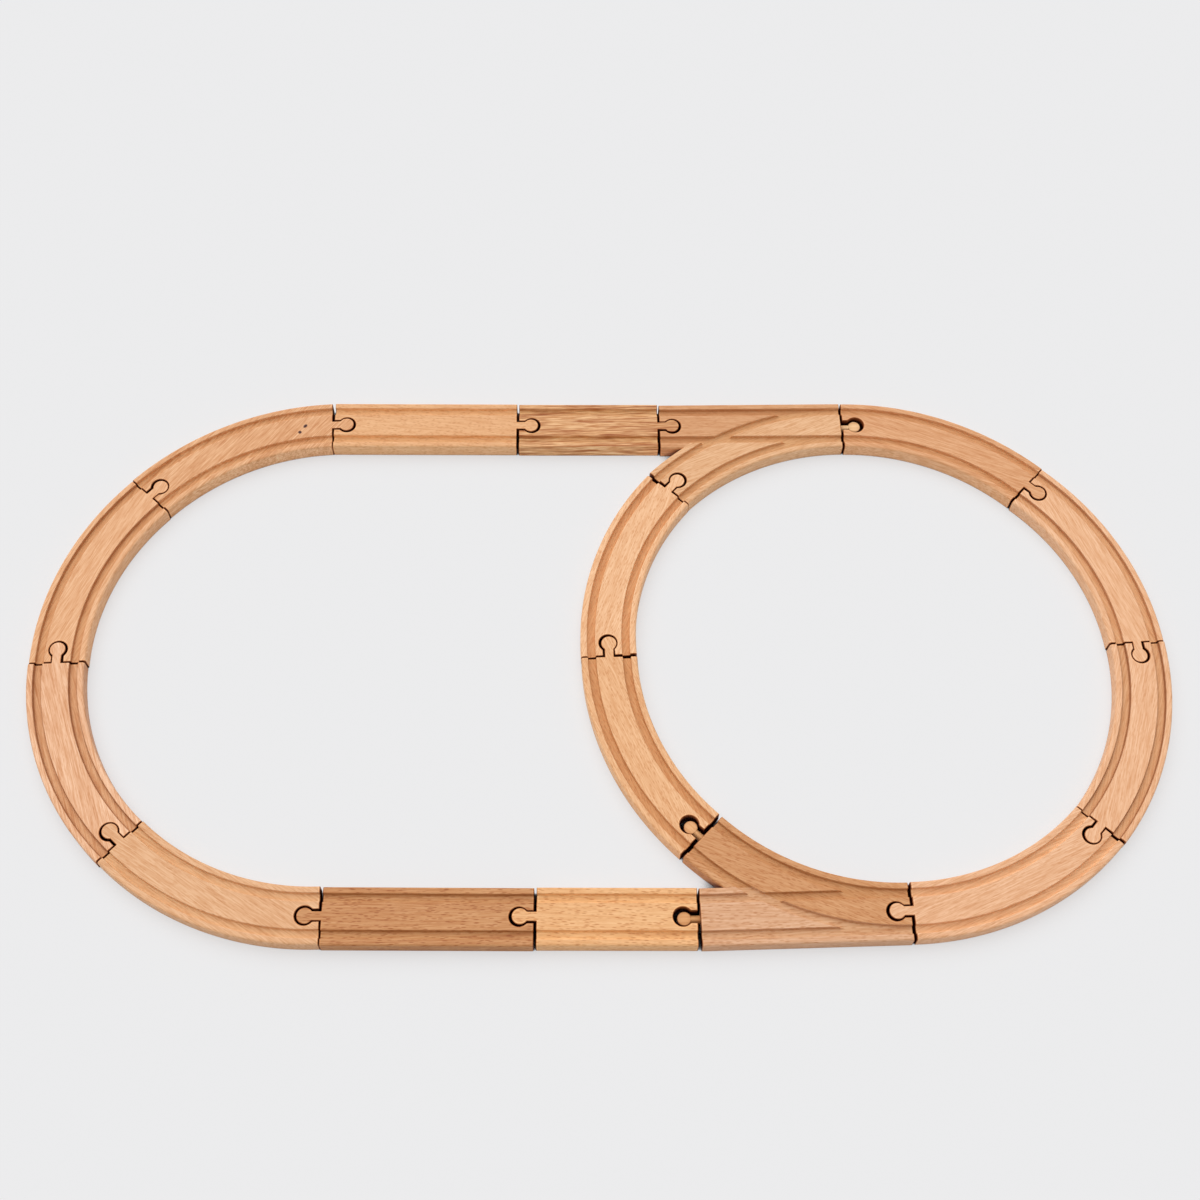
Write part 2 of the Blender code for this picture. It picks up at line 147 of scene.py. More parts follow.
FIGURES = {
    "straight_upper_long": Figure(0.05, 0.06, 0.12, 0.18, 2.2, 0.02, -0.25, -0.22, -5),
    "straight_upper_short": Figure(0.12, 0.6, 0.45, 0.14, 4.0, -0.03, -0.15, -0.3, 1),
    "straight_lower_short": Figure(0.06, 0.08, 0.12, 0.32, 3.0, -0.01, -0.17, -0.1, -2),
    "straight_lower_long": Figure(0.08, 0.16, 0.16, 0.38, 3.2, 0.0, -0.03, -0.03, 1),
    "curve_right_1": Figure(0.06, 0.08, 0.19, 0.08, 3.0, 0.06, -0.18, -0.26, 0),
    "curve_right_2": Figure(0.05, 0.05, 0.17, 0.08, 3.0, 0.12, 0.16, -0.09, -4),
    "curve_right_3": Figure(0.05, 0.05, 0.17, 0.1, 3.0, 0.12, 0.5, -0.05, 0),
    "curve_right_4": Figure(0.05, 0.05, 0.17, 0.1, 3.0, 0.07, -0.19, -0.1, 0),
    "curve_left_4": Figure(0.06, 0.06, 0.17, 0.1, 3.0, 0.03, -0.12, -0.06, -13),
    "curve_left_3": Figure(0.13, 0.14, 0.2, 0.1, 3.0, 0.17, 0.37, 0.12, -5),
    "curve_left_2": Figure(0.05, 0.05, 0.18, 0.08, 3.0, 0.14, 0.14, -0.12, -4),
    "curve_left_1": Figure(0.1, 0.14, 0.24, 0.1, 3.0, 0.04, -0.15, -0.27, 26),
    "curve_inner_lower": Figure(0.05, 0.04, 0.16, 0.18, 2.5, 0.22, -0.06, -0.14, 0),
    "curve_inner_upper": Figure(0.05, 0.04, 0.16, 0.18, 2.5, 0.25, -0.17, -0.08, -2),
    "switch_upper": Figure(0.05, 0.05, 0.16, 0.12, 3.0, 0.12, -0.12, -0.18, 0),
    "switch_lower": Figure(0.06, 0.08, 0.16, 0.22, 3.0, 0.04, -0.03, -0.06, 0),
    "switch_upper_peg": Figure(0.08, 0.06, 0.1, 0.05, 4.0, 0.0, 0.0, 0.45, 0),
    "switch_lower_peg_main": Figure(0.08, 0.06, 0.1, 0.05, 4.0, 0.0, 0.0, 0.45, 0),
    "switch_lower_peg_branch": Figure(0.08, 0.06, 0.1, 0.05, 4.0, 0.0, 0.0, 0.45, 0),
}
# Dark knots in a piece: place along and across its grain and half lengths along and across, in millimetres
KNOTS = {
    "curve_left_1": ((120.2, -49.7, 1.9, 1.3), (113.3, -50.3, 1.4, 1.4)),
}


def linear(code):
    """A colour written as six sRGB hex digits, as linear red, green and blue."""
    share = np.array([int(code[i:i + 2], 16) for i in (0, 2, 4)]) / 255
    return tuple(np.where(share <= 0.04045, share / 12.92, ((share + 0.055) / 1.055) ** 2.4))


def length(label, description, default):
    """A property for a length, kept in metres."""
    return bpy.props.FloatProperty(
        name=label, description=description, default=default, unit="LENGTH", precision=5)


def angle(label, description, default):
    """A property for an angle, given in degrees."""
    return bpy.props.FloatProperty(
        name=label, description=description, default=math.radians(default), subtype="ANGLE")


def colour(label, code):
    """A property for a colour, given as six hex digits."""
    return bpy.props.FloatVectorProperty(
        name=label, description=f"Colour of the {label.lower()}",
        default=linear(code), subtype="COLOR", min=0, max=1)


def amount(label, description, default):
    """A property for a plain number."""
    return bpy.props.FloatProperty(name=label, description=description, default=default, precision=3)


class TrackSizes(bpy.types.PropertyGroup):
    """Sizes that every piece of track is built from."""

    width: length("Width", "Across a piece of track", 40.85 * MM)
    thickness: length("Thickness", "Height of a piece", round(cad_box[1][2] - cad_box[0][2], 5))
    top_round: length("Top edge", "Rounding of the top edges along the sides", 1.8 * MM)
    bottom_round: length("Bottom edge", "Rounding of the bottom edges along the sides", 0.6 * MM)
    rim_round: length("Rim", "Rounding of the cut edges at ends, pegs and sockets", 0.6 * MM)
    groove_spacing: length("Groove spacing", "Between the middles of the two grooves", 25.4 * MM)
    groove_width: length("Groove width", "Across a groove at half its depth", 5.8 * MM)
    groove_depth: length("Groove depth", "Down from the top to a groove's floor", 3 * MM)
    groove_fillet: length("Groove fillet", "Rounding where a groove's floor meets its wall", 0.55 * MM)
    groove_lip: length("Groove lip", "Rounding where a groove's wall meets the top", 0.5 * MM)
    groove_lean: angle("Groove lean", "Lean of a groove's walls", 7)
    long_length: length("Long straight", "Between the ends of a long straight", 143 * MM)
    short_length: length("Short straight", "Between the ends of a short straight", 109 * MM)
    switch_length: length("Switch", "Between the ends of a switch's straight", 143 * MM)
    curve_radius: length("Curve radius", "Of the middle of a curve", 195 * MM)
    curve_angle: angle("Curve angle", "Turned through by one curve", 45)
    peg_head: length("Peg head", "Across the round head of a peg", 11.4 * MM)
    peg_neck: length("Peg neck", "Across the neck of a peg", 6.6 * MM)
    peg_reach: length("Peg reach", "From the end to the middle of a peg's head", 11 * MM)
    shoulder: angle("Shoulder", "How far past the neck a head's round goes on before the shoulder", 9)
    head_play: length("Head play", "Between a peg's head and its socket", 1.1 * MM)
    neck_play: length("Neck play", "Between a peg's neck and its slot", 1.0 * MM)
    seat_gap: length("Seat gap", "Between two ends when the peg sits in the middle of the socket", 1.0 * MM)
    disc_head: length("Disc", "Across the head of a loose peg", 9.8 * MM)
    disc_thickness: length("Disc thickness", "Height of a loose peg's head", 6 * MM)
    disc_round: length("Disc edge", "Rounding of a loose peg's head", 0.9 * MM)
    dowel: length("Dowel", "Across a loose peg's dowel", 5.6 * MM)
    dowel_depth: length("Dowel depth", "How far a dowel goes into its switch", 14 * MM)
    bore_play: length("Bore play", "Between a dowel and its bore", 0.3 * MM)


class WoodColours(bpy.types.PropertyGroup):
    """Colour of the land of each piece, as the light shows it on the flat top."""

    straight_upper_long: colour("Straight upper long", "E6AF7D")
    straight_upper_short: colour("Straight upper short", "D89D66")
    straight_lower_short: colour("Straight lower short", "ECB57E")
    straight_lower_long: colour("Straight lower long", "CA8F5C")
    curve_right_1: colour("Curve right 1", "DEA475")
    curve_right_2: colour("Curve right 2", "EDB88D")
    curve_right_3: colour("Curve right 3", "EDB88E")
    curve_right_4: colour("Curve right 4", "EAB58B")
    curve_left_4: colour("Curve left 4", "E4B083")
    curve_left_3: colour("Curve left 3", "EDB88F")
    curve_left_2: colour("Curve left 2", "E9B284")
    curve_left_1: colour("Curve left 1", "E2A979")
    curve_inner_lower: colour("Curve inner lower", "EBB584")
    curve_inner_upper: colour("Curve inner upper", "F1BD8F")
    switch_upper: colour("Switch upper", "D69D6E")
    switch_upper_branch: colour("Switch upper branch", "E4B183")
    switch_lower: colour("Switch lower", "DEAC85")
    switch_lower_branch: colour("Switch lower branch", "D09563")
    switch_upper_peg: colour("Switch upper peg", "F1C28E")
    switch_lower_peg_main: colour("Switch lower peg main", "DD9F65")
    switch_lower_peg_branch: colour("Switch lower peg branch", "E7AD75")


class StageLook(bpy.types.PropertyGroup):
    """The floor, the light and the camera."""

    floor: colour("Floor", "EBEBEC")
    ambient: amount("Ambient", "Light from all round, as a share of the whole", 0.38)
    sun: amount("Sun", "Light of the lamp on a flat top, as a share of the whole", 0.64)
    sun_height: angle("Sun height", "Of the lamp above the floor", 66)
    sun_turn: angle("Sun turn", "Of the lamp round the object, from +X towards +Y", 115)
    sun_spread: angle("Sun spread", "Width of the lamp as the object sees it, for soft shadows", 80)
    lens: amount("Lens", "Focal length in millimetres on a frame 36 mm wide", 49.781)
    distance: length("Distance", "From the camera to the point that it looks at", 1.24533)
    target_x: length("Target X", "Point on the floor that the camera looks at", -0.00026)
    target_y: length("Target Y", "Point on the floor that the camera looks at", 0.048711)
    pitch: angle("Pitch", "How far the camera looks down", 62.0697)
    yaw: angle("Yaw", "Camera's turn to the right of +Y", 3.1187)
    roll: angle("Roll", "Camera's turn about its own view", 2.1215)


def along(path, run, left):
    """Plan points at distances run along a path and left of it.

    On a straight the point is (run, left). A bend of radius r to the left is
    ((r - left) sin(run / r), r - (r - left) cos(run / r)), and one to the right is its mirror image.
    """
    side, radius, _ = path
    run, left = np.broadcast_arrays(run, left)
    if side == 0:
        return np.stack((run, left), -1)
    reach = radius - side * left
    return np.stack((reach * np.sin(run / radius), side * (radius - reach * np.cos(run / radius))), -1)


def left_of(path, points):
    """How far plan points lie left of a path: y by a straight, the radius less the reach by a bend."""
    side, radius, _ = path
    if side == 0:
        return points[:, 1]
    return side * (radius - np.hypot(points[:, 0], points[:, 1] - side * radius))


def end_of(path, far):
    """Middle and outward heading of one end of a path, as x, y and an angle."""
    if not far:
        return 0.0, 0.0, math.pi
    side, radius, run = path
    x, y = along(path, run, 0.0)
    return x, y, side * run / radius if side else 0.0


def on_end(end, points):
    """Points given as (out, left) from an end, in the plan of the piece."""
    x, y, heading = end
    turn = np.array(((math.cos(heading), math.sin(heading)), (-math.sin(heading), math.cos(heading))))
    return points @ turn + (x, y)


def keyhole(half, radius, reach, turn):
    """A peg in plan from one side of its root round the head to the other.

    The neck has the half width. The head is a circle about reach, left where a line square to the radius
    at asin(half / radius) plus the turn runs down to the neck as the shoulder.
    """
    leave = math.asin(half / radius) + turn
    slope = (radius * math.sin(leave) - half) / math.cos(leave)
    meet = reach - radius * math.cos(leave) - slope * math.sin(leave)
    sweep = np.linspace(leave - math.pi, math.pi - leave, HEAD_STEPS)
    head = np.stack((reach + radius * np.cos(sweep), radius * np.sin(sweep)), -1)
    return np.vstack(([(0, -half), (meet, -half)], head, [(meet, half), (0, half)]))


def end_line(s, fitting, inset=0.0, spare=0.0):
    """An end in plan from its right corner to its left, as (out, left), moved into the wood by an inset."""
    half = s.width / 2 + spare
    neck, head = s.peg_neck / 2, s.peg_head / 2
    key = np.empty((0, 2))
    if fitting == "socket":
        hole = s.peg_reach - s.seat_gap
        key = keyhole(neck + s.neck_play + inset, head + s.head_play + inset, hole, s.shoulder) * (-1, 1)
        key[(0, -1), 0] = -inset
    if fitting == "peg":
        key = keyhole(neck - inset, head - inset, s.peg_reach, s.shoulder)
        key = np.vstack(([(-inset, -neck)], key, [(-inset, neck)]))
    return np.vstack(([(-inset, -half)], key, [(-inset, half)]))


def rounding(inset, radius):
    """Drop of a rounded edge at an inset from it: r - sqrt(r^2 - (r - inset)^2), and none further in."""
    short = np.clip(radius - inset, 0, radius)
    return radius - np.sqrt(radius ** 2 - short ** 2)


def groove_half(s):
    """Half a groove's section from its middle, as distances out and depths.

    It is a flat floor, a fillet, a leaning wall at half the groove's width, and a rounded lip.
    """
    steep = math.pi / 2 - s.groove_lean
    turn = np.linspace(0, steep, GROOVE_ROUND_STEPS)
    rise = 1 - np.cos(turn)
    run = np.sin(turn)
    half = s.groove_width / 2
    low = (s.groove_depth / 2 - s.groove_fillet * rise[-1]) / math.tan(steep)
    high = (s.groove_depth / 2 - s.groove_lip * rise[-1]) / math.tan(steep)
    floor = half - low - s.groove_fillet * run[-1]
    top = half + high + s.groove_lip * run[-1]
    out = np.concatenate((floor + s.groove_fillet * run, top - s.groove_lip * run[::-1]))
    down = np.concatenate((s.groove_depth - s.groove_fillet * rise, s.groove_lip * rise[::-1]))
    return out, down


def side_drop(s, paths, points, radius):
    """What the rounded sides take off at plan points: the least that any path's own rounding takes."""
    inset = np.max([s.width / 2 - np.abs(left_of(path, points)) for path in paths], axis=0)
    return rounding(inset, radius)


def groove_drop(s, paths, points):
    """What the grooves take off at plan points: the deepest of all the paths' grooves."""
    out, down = groove_half(s)
    offsets = [np.abs(np.abs(left_of(path, points)) - s.groove_spacing / 2) for path in paths]
    return np.max([np.interp(offset, out, down) for offset in offsets], axis=0)


def groove_mark(s, paths, points, shares):
    """A mark along the grooves, given by its shares from the floor up to the lip.

    They stand for the floor short of the corner, the fillet's two ends and the lip's two ends. The mark
    counts only where no other path's groove runs over it.
    """
    out, down = groove_half(s)
    offsets = [np.abs(np.abs(left_of(path, points)) - s.groove_spacing / 2) for path in paths]
    wall = GROOVE_ROUND_STEPS
    reach = (out[0] - CORNER_REACH, out[0], out[wall - 1], out[wall], out[-1])
    marks = [np.interp(offset, reach, shares) for offset in offsets]
    if len(paths) > 1:
        depths = [np.interp(offset, out, down) for offset in offsets]
        marks = [mark * (depth < s.groove_depth / 2) for mark, depth in zip(marks, depths[::-1])]
    return np.max(marks, axis=0)


def top_drop(s, paths, points):
    """How far the top lies under its full height at plan points, without the rims of the ends."""
    return np.maximum(side_drop(s, paths, points, s.top_round), groove_drop(s, paths, points))


def shown_runs(s, paths, chain, drop):
    """The runs of a chain of plan points that lie on the surface at the drop that the chain stands for."""
    shown = np.abs(top_drop(s, paths, chain) - drop) < ON_SURFACE
    shown = np.convolve(shown, (1, 1, 1), "same") > 0
    index = np.flatnonzero(shown)
    runs = np.split(index, np.flatnonzero(np.diff(index) > 1) + 1)
    return [chain[run] for run in runs if len(run) > 1]


def section_lines(s, paths):
    """Lines along each path where its section bends, where they show."""
    out, down = groove_half(s)
    out = np.concatenate(([PAIR_HALF, out[0] - CORNER_REACH], out, [out[-1] + FOLLOW]))
    down = np.concatenate(([s.groove_depth] * 2, down, [0]))
    bend = np.radians((0, 15, 30, 45, 60, 75))
    inset = np.append(s.top_round * (1 - np.sin(bend)), s.top_round + FOLLOW)
    mid = s.groove_spacing / 2
    left = np.concatenate((mid - out, mid + out, s.width / 2 - inset))
    drop = np.concatenate((down, down, rounding(inset, s.top_round)))
    lines = []
    for path in paths:
        run = np.linspace(-SPARE, path[2] + SPARE, int(path[2] / PATH_STEP) + 2)
        for sign in (1, -1):
            for offset, depth in zip(left, drop):
                lines += shown_runs(s, paths, along(path, run, sign * offset), depth)
    return lines


def crossing_lines(s, paths):
    """Creases of a switch, where walls of the straight's and the bend's grooves meet at one depth.

    A point at y on the straight and at distance rho from the bend's middle lies at
    x = sqrt(rho^2 - (radius - y)^2).
    """
    radius = paths[1][1]
    out, down = groove_half(s)
    fine = np.linspace(out[0], out[-1], CREASE_STEPS)
    depth = np.interp(fine, out, down)
    mid = s.groove_spacing / 2
    signs = (1, -1)
    pairs = [(a * mid + b * fine, radius - c * mid - d * fine, depth)
             for a in signs for b in signs for c in signs for d in signs]
    inset = np.linspace(0, s.top_round, CROTCH_STEPS)
    pairs.append((s.width / 2 - inset, radius + s.width / 2 - inset, rounding(inset, s.top_round)))
    lines = []
    for y, rho, drop in pairs:
        square = rho ** 2 - (radius - y) ** 2
        real = square > 0
        chain = np.stack((np.sqrt(square[real]), y[real]), -1)
        if len(chain) > 3:
            lines += shown_runs(s, paths, chain, drop[real])
    return lines


def piece_outline(s, paths, ends):
    """Outline of a piece in plan, anticlockwise, with the pegs and sockets of its ends."""
    half = s.width / 2
    lines = [on_end(end, end_line(s, fitting)) for end, fitting in ends]
    main = paths[0]
    run = np.linspace(0, main[2], int(main[2] / PATH_STEP) + 2)
    right = along(main, run, -half)[1:-1]
    if len(paths) == 1:
        left = along(main, run[::-1], half)[1:-1]
        return np.vstack((right, lines[1], left, lines[0]))
    _, radius, reach = paths[1]
    swing = math.acos((radius - half) / (radius + half))
    crotch = (radius + half) * math.sin(swing)
    back = np.linspace(main[2], crotch, BACK_STEPS)[1:]
    outer = along(paths[1], np.linspace(swing * radius, reach, OUTER_STEPS), -half)[1:-1]
    inner = along(paths[1], np.linspace(reach, 0, INNER_STEPS), half)[1:-1]
    left = np.stack((back, np.full(len(back), half)), -1)
    return np.vstack((right, lines[1], left, outer, lines[2], inner, lines[0]))


def filled(outline, lines):
    """Triangles that fill an outline and follow the lines across it, as points and corner numbers.

    They are a constrained Delaunay triangulation of all the chains, of which the inside is kept.
    """
    chains = [outline] + lines
    starts = np.cumsum([0] + [len(chain) for chain in chains])
    edges = np.concatenate([
        np.stack((np.arange(low, high - 1), np.arange(low + 1, high)), -1)
        for low, high in zip(starts[1:-1], starts[2:])])
    corners = np.vstack(chains).tolist()
    face = list(range(len(outline)))
    result = delaunay_2d_cdt([Vector(corner) for corner in corners], edges.tolist(), [face], 0, 1e-6, True)
    points = np.array(result[0])
    inside = np.array([len(faces) > 0 for faces in result[5]])
    triangles = np.array(result[2])[inside]
    used, triangles = np.unique(triangles, return_inverse=True)
    points = points[used]
    triangles = triangles.reshape(-1, 3)
    a, b, c = (points[triangles[:, i]] for i in range(3))
    area = (b[:, 0] - a[:, 0]) * (c[:, 1] - a[:, 1]) - (b[:, 1] - a[:, 1]) * (c[:, 0] - a[:, 0])
    triangles[area < 0] = triangles[area < 0][:, ::-1]
    return points, triangles


def from_chain(points, chain):
    """Distance of each point from the nearest stretch of a chain."""
    start, step = chain[:-1], np.diff(chain, axis=0)
    square = np.maximum((step ** 2).sum(-1), 1e-18)
    offset = points[:, None] - start
    share = np.clip((offset * step).sum(-1) / square, 0, 1)
    return np.linalg.norm(offset - share[..., None] * step, axis=-1).min(1)


def track_surface(s, paths, ends, extra=()):
    """Closed surface of a piece of track as points, faces and point fields.

    The plan is filled once. The top is the full height less the roundings and grooves, the bottom is the
    roundings alone, and walls join the two along the outline.
    """
    chains = [on_end(end, end_line(s, fitting)) for end, fitting in ends]
    lines = section_lines(s, paths) + list(extra)
    if len(paths) > 1:
        lines += crossing_lines(s, paths)
    for step in RIM_LINES:
        lines += [on_end(end, end_line(s, fitting, step * s.rim_round, SPARE)) for end, fitting in ends]
    plan, triangles = filled(piece_outline(s, paths, ends), lines)
    away = np.min([from_chain(plan, chain) for chain in chains], axis=0)
    rim = rounding(away, s.rim_round)
    high = s.thickness - top_drop(s, paths, plan) - rim
    low = side_drop(s, paths, plan, s.bottom_round) + rim
    count = len(plan)
    points = np.vstack((np.column_stack((plan, high)), np.column_stack((plan, low))))
    sides = np.concatenate((triangles[:, (0, 1)], triangles[:, (1, 2)], triangles[:, (2, 0)]))
    code = sides[:, 0] * count + sides[:, 1]
    rims = sides[~np.isin(sides[:, 1] * count + sides[:, 0], code)]
    walls = np.stack((rims[:, 0], rims[:, 0] + count, rims[:, 1] + count, rims[:, 1]), -1)
    faces = triangles.tolist() + (triangles[:, ::-1] + count).tolist() + walls.tolist()
    nothing = np.zeros(count)
    edge = away / s.rim_round
    fields = {
        # The grooves' depth, for their browner wood and painted shade
        "groove": np.concatenate((groove_drop(s, paths, plan) / s.groove_depth, nothing)),
        # Painted shade and light on the grooves' walls and corners
        "steep": np.concatenate((groove_mark(s, paths, plan, (0, 0.3, 1, 1, 0)), nothing)),
        # Painted highlight just in from the cut rims
        "rim": np.tile(np.interp(edge, RIM_LINES[1:], (0, 0.6, 1, 0)), 2),
        # Browner end grain with painted shade on the cut edges and ends
        "cut": np.tile(np.interp(edge, RIM_LINES[:-1], (1, 0.8, 0.15, 0)), 2),
        # Painted shade and light on the rounded sides and side walls
        "wall": np.concatenate((side_drop(s, paths, plan, s.top_round) / s.top_round,
                                side_drop(s, paths, plan, s.bottom_round) / s.bottom_round)),
    }
    return points, faces, fields


def volume_frame(points, triangles):
    """Middle of a closed surface's volume in plan, and the heading of its longest spread."""
    a, b, c = (points[triangles[:, i]] for i in range(3))
    part = np.einsum("ij,ij->i", a, np.cross(b, c)) / 6
    total = a + b + c
    whole = part.sum()
    middle = (part[:, None] * total / 4).sum(0)[:2] / whole
    plan = (a[:, :2], b[:, :2], c[:, :2], total[:, :2])
    spread = sum(np.einsum("i,ij,ik->jk", part / 20, p, p) for p in plan) / whole - np.outer(middle, middle)
    return middle, 0.5 * math.atan2(2 * spread[0, 1], spread[0, 0] - spread[1, 1])


def turned(points, heading):
    """Plan points turned about the origin."""
    cosine, sine = math.cos(heading), math.sin(heading)
    return points @ np.array(((cosine, sine), (-sine, cosine)))


def laid_pose(name, points, faces, corners):
    """Heading and place in plan that put a piece's end corners on those of its CAD solid."""
    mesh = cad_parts[name].data
    mesh.calc_loop_triangles()
    solid = np.empty(3 * len(mesh.vertices), np.float32)
    mesh.vertices.foreach_get("co", solid)
    solid = solid.reshape(-1, 3).astype(float)
    triangles = np.empty(3 * len(mesh.loop_triangles), np.int32)
    mesh.loop_triangles.foreach_get("vertices", triangles)
    middle, heading = volume_frame(solid, triangles.reshape(-1, 3))
    flat = np.array([face[:3] for face in faces] + [(face[0], *face[2:]) for face in faces if len(face) > 3])
    own_middle, own_heading = volume_frame(points, flat)
    upright = solid[np.abs(solid[:, 2] - UPRIGHT_MIDDLE) < UPRIGHT_REACH][:, :2]
    best = None
    for half_turn in (0, math.pi):
        guess = turned(corners - own_middle, heading - own_heading + half_turn) + middle
        gap = np.linalg.norm(guess[:, None] - upright, axis=-1)
        if best is None or gap.min(1).sum() < best[0]:
            best = (gap.min(1).sum(), upright[gap.argmin(1)])
    found = best[1] - best[1].mean(0)
    own = corners - corners.mean(0)
    cross = (own[:, 0] * found[:, 1] - own[:, 1] * found[:, 0]).sum()
    heading = math.atan2(cross, (own * found).sum())
    place = best[1].mean(0) - turned(corners.mean(0)[None], heading)[0]
    misfit = np.linalg.norm(turned(corners, heading) + place - best[1], axis=-1).max()
    if misfit > MISFIT_LIMIT:
        raise RuntimeError(f"{name} doesn't fit its CAD solid: {misfit / MM:.2f} mm off")
    return heading, place


def new_object(name, points, faces, fields):
    """A mesh object at the origin, smooth but for clear edges, with a point attribute for each field."""
    mesh = bpy.data.meshes.new(name)
    mesh.from_pydata(points.tolist(), [], faces)
    for field, values in fields.items():
        attribute = mesh.attributes.new(field, "FLOAT", "POINT")
        attribute.data.foreach_set("value", values.astype(np.float32))
    mesh.shade_smooth()
    mesh.set_sharp_from_angle(angle=SHARP_ANGLE)
    obj = bpy.data.objects.new(f"{name}_finished", mesh)
    bpy.context.scene.collection.objects.link(obj)
    return obj


def combined(obj, tool, operation):
    """Join a tool to an object or cut it away, and drop the tool."""
    modifier = obj.modifiers.new(operation.lower(), "BOOLEAN")
    modifier.operation = operation
    modifier.solver = "EXACT"
    modifier.object = tool
    bpy.context.view_layer.update()
    result = bpy.data.meshes.new_from_object(obj.evaluated_get(bpy.context.evaluated_depsgraph_get()))
    obj.modifiers.clear()
    obj.data = result
    bpy.data.objects.remove(tool)


def revolved(radius, rise, turns):
    """A profile of radii and heights turned about the Z axis, as points and faces closed at both ends.

    Point (i, j) is (radius_i cos t_j, radius_i sin t_j, rise_i), with t_j spread evenly round the turn.
    """
    turn = np.linspace(0, 2 * math.pi, turns, endpoint=False)
    grid = np.stack(np.broadcast_arrays(
        radius[:, None] * np.cos(turn), radius[:, None] * np.sin(turn), rise[:, None]), -1)
    row, column = np.meshgrid(np.arange(len(radius) - 1), np.arange(turns), indexing="ij")
    after = (column + 1) % turns
    faces = np.stack((row * turns + column, row * turns + after,
                      (row + 1) * turns + after, (row + 1) * turns + column), -1).reshape(-1, 4)
    last = (len(radius) - 1) * turns
    caps = [list(range(turns))[::-1], list(range(last, last + turns))]
    return grid.reshape(-1, 3), faces.tolist() + caps


def rounded_profile(radius, low, high, edge):
    """Profile of a round bar or disc with rounded rims, from a small cap on one end to that on the other."""
    turn = np.radians(np.linspace(0, 90, DISC_ROUND_STEPS))
    inner = radius - edge
    cap = 0.4 * inner
    out = np.concatenate(([cap], inner + edge * np.sin(turn)))
    up = np.concatenate(([low], low + edge * (1 - np.cos(turn))))
    return np.concatenate((out, out[::-1])), np.concatenate((up, low + high - up[::-1]))


def add_node(tree, kind, inputs=None, **settings):
    """A shader node with its settings, and its inputs linked to sockets or set to values."""
    node = tree.nodes.new(kind)
    for key, value in settings.items():
        setattr(node, key, value)
    for key, value in (inputs or {}).items():
        if isinstance(value, bpy.types.NodeSocket):
            tree.links.new(value, node.inputs[key])
        else:
            node.inputs[key].default_value = value
    return node


def ramp(tree, value, start, end, low=0.0, high=1.0, **settings):
    """A value mapped from start and end to low and high, and held beyond them."""
    inputs = {0: value, 1: start, 2: end, 3: low, 4: high}
    return add_node(tree, "ShaderNodeMapRange", inputs, **settings).outputs[0]


def product(tree, first, second):
    """One share times another."""
    return add_node(tree, "ShaderNodeMath", {0: first, 1: second}, operation="MULTIPLY").outputs[0]


def noise(tree, where, detail, distortion=0.0):
    """Smooth noise at places in a pattern."""
    return add_node(tree, "ShaderNodeTexNoise", {
        "Vector": where, "Scale": 1, "Detail": detail, "Distortion": distortion}).outputs["Fac"]


def open_sky(tree, reach, samples):
    """The share of the light that nothing within reach shuts off."""
    return add_node(tree, "ShaderNodeAmbientOcclusion", {"Distance": reach}, samples=samples).outputs["AO"]


def laid_out(tree, where, location, heading=0.0, scale=(1, 1, 1)):
    """Places in a pattern that is laid at a location, with a heading and a scale."""
    return add_node(tree, "ShaderNodeMapping", {
        "Vector": where, "Location": location, "Rotation": (0, 0, heading), "Scale": scale},
        vector_type="TEXTURE").outputs[0]


# How fast red, green and blue go as wood gets browner and in the painted shade of slots and nooks, and in
# painted shade as a wall of it turns from the light
BROWNER = np.array((1.0, 1.9, 2.9))
SHADED = np.array((1.0, 1.45, 1.8))
# What grooves keep, from their own browner wood and painted shade, and the painted highlight that rims gain
GROOVE_TONE_AND_SHADE = (0.94, 0.955, 0.88, 1)
RIM_HIGHLIGHT = (1.17, 1.19, 1.12, 1)
# How much browner wood is on its cut ends, from end grain and painted shade, how deep the painted shade is
# in the slots and in narrow nooks, and how much browner the knots are
CUT_STAIN_AND_SHADE = 0.7
SLOT_SHADE = 2.5
NOOK_SHADE = 1.5
KNOT_STAIN = 3
# Share of the land that bands, stripes and fibres darken on the whole
BAND_SHARE = 0.5
STRIPE_SHARE = 0.13
FIBRE_SHARE = 0.3
# How deep in the pattern the wood of a piece and of a switch's branch was cut, and half the depth of a knot
GRAIN_DEPTH = 50 * MM
BRANCH_DEPTH = 150 * MM
KNOT_HALF = 3 * MM
# How far wood and floor look for what shuts off the light
NOOK_REACH = 10 * MM
FLOOR_REACH = 14 * MM
# Finish of the sanded wood: roughness between and on the fibres, sheen, and the height of the fibres
SMOOTH = 0.5
ROUGH = 0.62
SHEEN = 0.35
FIBRE_STRENGTH = 0.35
FIBRE_HEIGHT = 0.05 * MM


def stain_and_shade(strength, pace=BROWNER):
    """The share of light that wood keeps under a stain, and in painted shade: blue goes first, then green,
    then red.
    """
    return (*np.exp(-strength * pace), 1.0)


